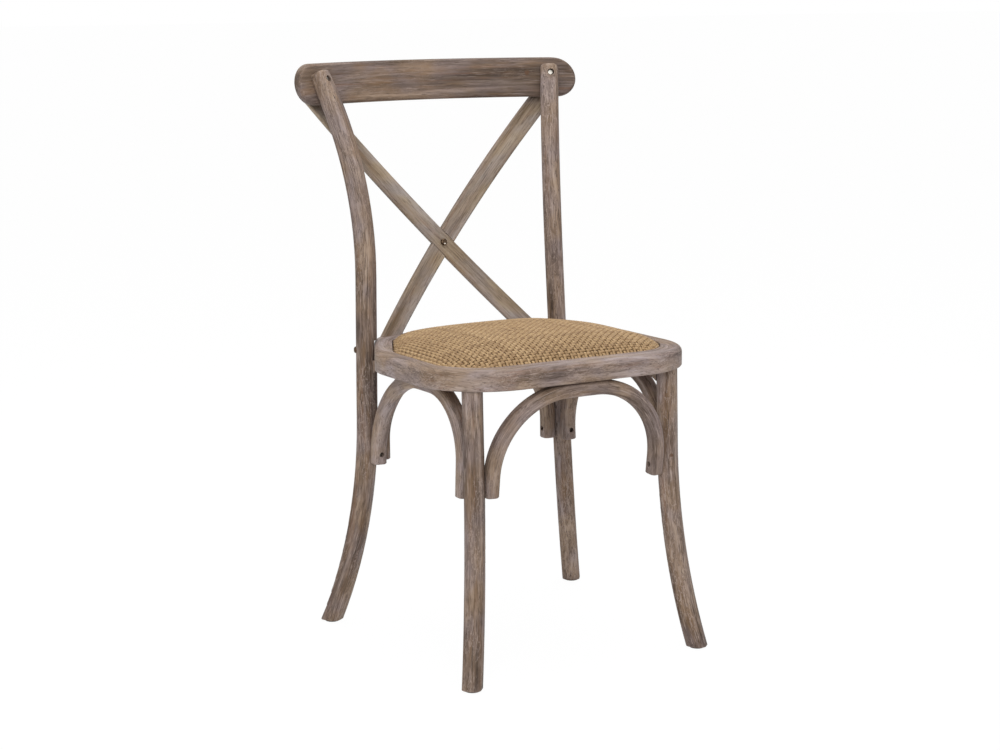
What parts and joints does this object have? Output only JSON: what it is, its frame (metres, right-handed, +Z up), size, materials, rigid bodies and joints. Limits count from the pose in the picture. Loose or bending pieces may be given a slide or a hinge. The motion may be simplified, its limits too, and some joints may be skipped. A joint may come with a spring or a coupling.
{
  "type": "cross-back dining chair",
  "caption": "Bentwood dining chair with a crossed-slat back, a curved crest rail, bows under the seat frame and a crowned drop-in seat of woven rattan.",
  "frame": {"origin": "on the floor, under the middle of the whole chair's box", "axes": "+Z up from the floor, -Y the way the sitter faces, +X to the right as seen from the front"},
  "size_m": [0.506, 0.5414, 0.8837],
  "materials": {
    "washed_wood": "grey-brown washed and brushed wood, matt, with darker open grain",
    "woven_rattan": "natural rattan strands in a close diagonal weave over padding",
    "glide_nylon": "dark matt nylon",
    "zinc_steel": "bright zinc-plated steel",
    "dark_bronze": "dark bronzed metal, lightly worn"
  },
  "bodies": {
    "root": {"bow_back": "washed_wood", "bow_end_screws": "zinc_steel", "bow_front": "washed_wood", "bow_side_left": "washed_wood", "bow_side_right": "washed_wood", "bow_top_screws": "zinc_steel", "crest_rail": "washed_wood", "crest_screws": "zinc_steel", "cross_rivet": "dark_bronze", "cross_slat_front": "washed_wood", "cross_slat_rear": "washed_wood", "front_corner_block_left": "washed_wood", "front_corner_block_right": "washed_wood", "front_glide_left": "glide_nylon", "front_glide_right": "glide_nylon", "front_leg_left": "washed_wood", "front_leg_right": "washed_wood", "post_bolts": "dark_bronze", "rear_corner_block_left": "washed_wood", "rear_corner_block_right": "washed_wood", "rear_glide_left": "glide_nylon", "rear_glide_right": "glide_nylon", "rear_post_left": "washed_wood", "rear_post_right": "washed_wood", "rivet_washer": "dark_bronze", "seat_board": "washed_wood", "seat_frame": "washed_wood", "seat_pad": "woven_rattan", "slat_screws": "zinc_steel"}
  },
  "joints": []
}
